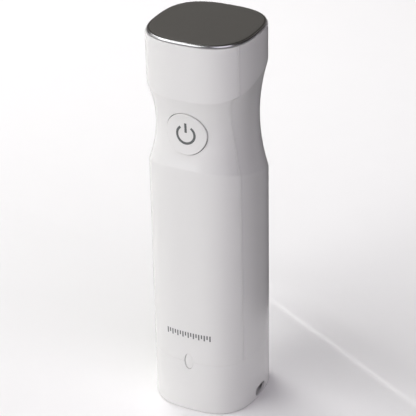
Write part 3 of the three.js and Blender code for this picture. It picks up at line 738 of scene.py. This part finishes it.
# ---------------------------------------------------------------- materials
def grained(
    name,
    color,
    roughness,
    metallic=0.0,
    vary=0.04,
    grain=900.0,
    relief=0.05,
    patchy=40.0,
    stretch=(1, 1, 1),
    uneven=0.15,
):
    """A Principled material with slow colour drift, finer roughness change and a fine relief."""
    material = bpy.data.materials.new(name)
    material.use_nodes = True
    nodes, links = material.node_tree.nodes, material.node_tree.links
    shader = nodes["Principled BSDF"]
    shader.inputs["Metallic"].default_value = metallic
    place = nodes.new("ShaderNodeTexCoord")
    stretched = nodes.new("ShaderNodeMapping")
    stretched.inputs["Scale"].default_value = stretch
    links.new(place.outputs["Object"], stretched.inputs["Vector"])

    drift = nodes.new("ShaderNodeTexNoise")
    drift.inputs["Scale"].default_value = patchy
    drift.inputs["Detail"].default_value = 3
    links.new(place.outputs["Object"], drift.inputs["Vector"])
    ramp = nodes.new("ShaderNodeValToRGB")
    ramp.color_ramp.elements[0].position = 0.3
    ramp.color_ramp.elements[1].position = 0.7
    ramp.color_ramp.elements[0].color = (*[max(0, c * (1 - vary)) for c in color], 1)
    ramp.color_ramp.elements[1].color = (*[min(1, c * (1 + vary)) for c in color], 1)
    links.new(drift.outputs["Fac"], ramp.inputs["Fac"])
    links.new(ramp.outputs["Color"], shader.inputs["Base Color"])

    fine = nodes.new("ShaderNodeTexNoise")
    fine.inputs["Scale"].default_value = grain
    fine.inputs["Detail"].default_value = 2
    links.new(stretched.outputs["Vector"], fine.inputs["Vector"])
    spread_roughness = nodes.new("ShaderNodeMapRange")
    spread_roughness.inputs["To Min"].default_value = max(0.02, roughness * (1 - uneven))
    spread_roughness.inputs["To Max"].default_value = min(1, roughness * (1 + uneven))
    links.new(fine.outputs["Fac"], spread_roughness.inputs["Value"])
    links.new(spread_roughness.outputs["Result"], shader.inputs["Roughness"])
    bump = nodes.new("ShaderNodeBump")
    bump.inputs["Strength"].default_value = relief
    bump.inputs["Distance"].default_value = 0.0001
    links.new(fine.outputs["Fac"], bump.inputs["Height"])
    links.new(bump.outputs["Normal"], shader.inputs["Normal"])
    return material


def make_materials():
    shell_white = (0.73, 0.725, 0.715)
    smooth = {"vary": 0.003, "grain": 2500, "relief": 0.001, "patchy": 30, "uneven": 0.02}
    satin = (0.165, 0.162, 0.155)
    return {
        "white_shell": grained("moulded_white", shell_white, 0.25, **smooth),
        "cap_plate": grained("satin_dark_steel", satin, 0.30, 1.0, 0.03, 2200, 0.05, 30, (1, 0.06, 1)),
        # a darker copy of the satin steel for the plate's curved edge: painted shade, not another metal
        "cap_painted_shade": grained("dark_steel_painted_shade", (0.06, 0.058, 0.055), 0.30, 1.0, 0.03, 2200, 0.05, 30),
        "cap_rim": grained("polished_rim", (0.50, 0.50, 0.51), 0.22, 1.0, 0.01, 900, 0.01),
        "natural_plastic": grained("natural_nylon", (0.62, 0.62, 0.60), 0.5, vary=0.03, relief=0.06),
        "black_plastic": grained("black_nylon", (0.03, 0.03, 0.033), 0.48, vary=0.1, relief=0.12),
        "plated_steel": grained("plated_steel", (0.60, 0.61, 0.62), 0.27, 1.0, 0.05, 1400, 0.06),
        "brass": grained("turned_brass", (0.68, 0.48, 0.20), 0.28, 1.0, 0.06, 1600, 0.06, 60, (1, 1, 8)),
        "copper": grained("enamelled_copper", (0.62, 0.27, 0.13), 0.32, 1.0, 0.08, 700, 0.5, 60, (1, 1, 9)),
        "silicone": grained("grey_silicone", (0.42, 0.43, 0.44), 0.55, vary=0.03, relief=0.05),
        "black_rubber": grained("black_rubber", (0.02, 0.02, 0.021), 0.65, vary=0.1, relief=0.1),
        "circuit_board": grained("solder_mask", (0.02, 0.13, 0.065), 0.4, vary=0.12, grain=500, relief=0.2),
        "cell_sleeve": grained("shrink_sleeve", (0.05, 0.17, 0.42), 0.35, vary=0.06, grain=300, relief=0.08),
        "ferrite": grained("ground_ferrite", (0.06, 0.06, 0.065), 0.55, 0.0, 0.15, 1200, 0.15),
        "red_wire": grained("red_insulation", (0.5, 0.03, 0.025), 0.4, vary=0.05),
        "black_wire": grained("black_insulation", (0.02, 0.02, 0.02), 0.4, vary=0.05),
        "flat_cable": grained("flat_cable", (0.62, 0.48, 0.26), 0.4, vary=0.05),
        "print_grey": grained("grey_ink", (0.10, 0.107, 0.108), 0.45, vary=0.05),
    }


def dress_cad_nodes(materials):
    """Gives every CAD node that stays in view its slot's material, welded faces and eased edges."""
    slots = {row["node"]: row["material_slot"] for row in frame["record"]["subparts"]}
    for name, node in frame["nodes"].items():
        if node.hide_render:
            continue
        node.data.materials.clear()
        node.data.materials.append(materials[slots[name]])
        if "custom_normal" in node.data.attributes:
            node.data.attributes.remove(node.data.attributes["custom_normal"])
        node.data.polygons.foreach_set("use_smooth", [True] * len(node.data.polygons))
        weld = node.modifiers.new("weld", "WELD")
        weld.merge_threshold = 1e-6
        add_bevel(node, 0.08, 32, 2)


# ---------------------------------------------------------------- stage, in metres and degrees
FLOOR_SIZE = 8
CARD_AZIMUTH = 150
CARD_DISTANCE = 0.065
CARD_SIZE = 0.16
CARD_LIFT = 0.01


def make_floor():
    bpy.ops.mesh.primitive_plane_add(size=FLOOR_SIZE)
    floor = bpy.context.object
    floor.name = "floor"
    paper = grained("white_paper", (0.9, 0.895, 0.89), 0.85, vary=0.003, grain=300, relief=0.01)
    floor.data.materials.append(paper)


def make_card():
    """An upright dark card, unseen by the camera, that keeps the floor's glow off one side of the pump."""
    a = math.radians(CARD_AZIMUTH)
    bpy.ops.mesh.primitive_plane_add(size=1)
    card = bpy.context.object
    card.name = "black_card"
    card.scale = (CARD_SIZE, CARD_SIZE, 1)
    card.rotation_euler = (math.pi / 2, 0, a)
    card.location = (math.sin(a) * CARD_DISTANCE, -math.cos(a) * CARD_DISTANCE, CARD_SIZE / 2 + CARD_LIFT)
    paint = grained("black_card", (0.05, 0.05, 0.05), 0.9, vary=0.01, grain=300, relief=0.01)
    card.data.materials.append(paint)
    card.visible_camera = False
    card.visible_shadow = False


def direction(azimuth, elevation):
    """A unit vector for two angles in degrees. Azimuth 0 is the button side."""
    a, e = math.radians(azimuth), math.radians(elevation)
    return Vector((math.sin(a) * math.cos(e), -math.cos(a) * math.cos(e), math.sin(e)))


def area_light(name, azimuth, elevation, distance, size, power, color=(1, 1, 1), target=(0, 0, 0.09)):
    """A square soft light aimed at a target, by default the pump's middle."""
    away = direction(azimuth, elevation)
    data = bpy.data.lights.new(name, "AREA")
    data.size = size
    data.energy = power
    data.color = color
    light = bpy.data.objects.new(name, data)
    light.location = Vector(target) + away * distance
    light.rotation_euler = away.to_track_quat("Z", "Y").to_euler()
    light.visible_camera = False
    bpy.context.scene.collection.objects.link(light)
    return data


def make_lights():
    area_light("left", -68, 30, 2.2, 2.0, 13)
    area_light("front_left", -34, 30, 2.2, 2.0, 32)
    area_light("front_right", 58, 44, 2.2, 2.0, 19.5, (0.95, 0.90, 1.0))
    behind = area_light("behind", -115, 62, 1.35, 0.7, 1.7, target=(-0.17, 0.36, 0))
    behind.spread = math.radians(60)


def make_world():
    """Faint warm light all round, and a soft glow behind the pump, up on the left."""
    world = bpy.data.worlds.new("studio")
    bpy.context.scene.world = world
    world.use_nodes = True
    nodes, links = world.node_tree.nodes, world.node_tree.links
    place = nodes.new("ShaderNodeTexCoord")
    toward = nodes.new("ShaderNodeVectorMath")
    toward.operation = "DOT_PRODUCT"
    toward.inputs[1].default_value = (-0.383, 0.786, 0.485)
    links.new(place.outputs["Generated"], toward.inputs[0])
    ramp = nodes.new("ShaderNodeMapRange")
    ramp.inputs["From Min"].default_value = 0.7
    ramp.inputs["From Max"].default_value = 0.95
    ramp.inputs["To Min"].default_value = 0.04
    ramp.inputs["To Max"].default_value = 0.35
    links.new(toward.outputs["Value"], ramp.inputs["Value"])
    links.new(ramp.outputs["Result"], nodes["Background"].inputs["Strength"])
    nodes["Background"].inputs["Color"].default_value = (1, 0.95, 0.9, 1)
    bpy.context.scene.view_settings.view_transform = "Standard"


def make_camera():
    back = direction(CAMERA_AZIMUTH, CAMERA_ELEVATION)
    roll = math.radians(CAMERA_ROLL)
    right = (-back).cross(Vector((0, 0, 1))).normalized()
    up = right.cross(-back)
    rolled_right = right * math.cos(roll) + up * math.sin(roll)
    rolled_up = up * math.cos(roll) - right * math.sin(roll)
    data = bpy.data.cameras.new("camera")
    data.lens = CAMERA_LENS
    data.sensor_width = CAMERA_SENSOR
    camera = bpy.data.objects.new("camera", data)
    bpy.context.scene.collection.objects.link(camera)
    turn = Matrix((rolled_right, rolled_up, back)).transposed().to_4x4()
    spot = Vector((0, 0, CAMERA_TARGET_Z)) + rolled_right * CAMERA_SIDESTEP + back * CAMERA_DISTANCE
    camera.matrix_world = Matrix.Translation(spot) @ turn
    bpy.context.scene.camera = camera


make_camera()
palette = make_materials()
front_cover(palette["white_shell"])
rear_shell(palette["white_shell"])
foot_shell(palette["white_shell"])
foot_floor(palette["white_shell"])
top_cap(palette)
power_button(palette["white_shell"])
power_mark(palette["print_grey"])
level_marks(palette["print_grey"])
release_button(palette["white_shell"])
suction_cup(palette["silicone"])
dress_cad_nodes(palette)
make_floor()
make_card()
make_lights()
make_world()
